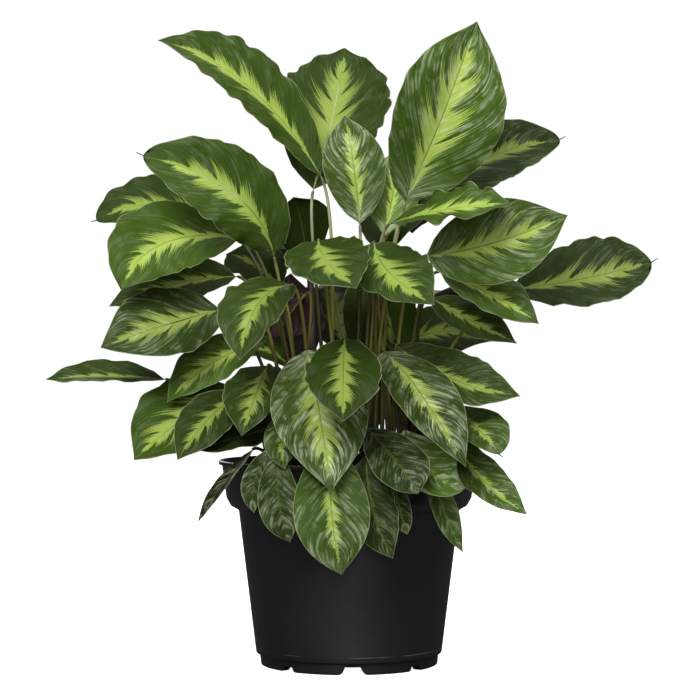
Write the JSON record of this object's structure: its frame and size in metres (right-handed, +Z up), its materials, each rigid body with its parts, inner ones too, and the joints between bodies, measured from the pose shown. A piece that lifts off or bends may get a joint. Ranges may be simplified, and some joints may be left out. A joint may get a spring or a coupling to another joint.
{
  "type": "potted calathea",
  "caption": "Bushy calathea with feathered two-tone oval leaves on slim stalks, growing in a plain black round nursery pot filled with soil.",
  "frame": {"origin": "on the pot's vertical axis, at the level of the surface that the pot stands on", "axes": "+Z up along the pot's axis, -Y towards the front of the plant, +X to the right seen from the front"},
  "size_m": [0.4393, 0.2935, 0.4642],
  "materials": {
    "pot_plastic": "satin",
    "potting_soil": "matte",
    "leaf": "satin"
  },
  "bodies": {
    "root": {"pot": "pot_plastic", "soil": "potting_soil", "leaf_top_1": "leaf", "leaf_top_2": "leaf", "leaf_top_3": "leaf", "leaf_top_4": "leaf", "leaf_top_5": "leaf", "leaf_top_6": "leaf", "leaf_top_7": "leaf", "leaf_left_1": "leaf", "leaf_left_2": "leaf", "leaf_left_3": "leaf", "leaf_left_4": "leaf", "leaf_left_5": "leaf", "leaf_left_6": "leaf", "leaf_left_7": "leaf", "leaf_left_8": "leaf", "leaf_left_9": "leaf", "leaf_left_10": "leaf", "leaf_left_11": "leaf", "leaf_left_12": "leaf", "leaf_right_1": "leaf", "leaf_right_2": "leaf", "leaf_right_3": "leaf", "leaf_right_4": "leaf", "leaf_right_5": "leaf", "leaf_right_6": "leaf", "leaf_right_7": "leaf", "leaf_right_8": "leaf", "leaf_right_9": "leaf", "leaf_right_10": "leaf", "leaf_right_11": "leaf", "leaf_front_1": "leaf", "leaf_front_2": "leaf", "leaf_front_3": "leaf", "leaf_front_4": "leaf", "leaf_front_5": "leaf", "leaf_front_6": "leaf", "leaf_front_7": "leaf", "leaf_front_8": "leaf", "leaf_rim_1": "leaf", "leaf_rim_2": "leaf", "leaf_rim_3": "leaf", "leaf_rim_4": "leaf", "leaf_rim_5": "leaf", "leaf_rim_6": "leaf", "leaf_rim_7": "leaf", "leaf_rim_8": "leaf", "leaf_rim_9": "leaf", "leaf_rim_10": "leaf", "leaf_rim_11": "leaf", "leaf_back_1": "leaf", "leaf_back_2": "leaf", "leaf_back_3": "leaf", "leaf_back_4": "leaf", "leaf_back_5": "leaf", "leaf_back_6": "leaf", "leaf_back_7": "leaf", "leaf_back_8": "leaf", "leaf_back_9": "leaf"}
  },
  "joints": []
}
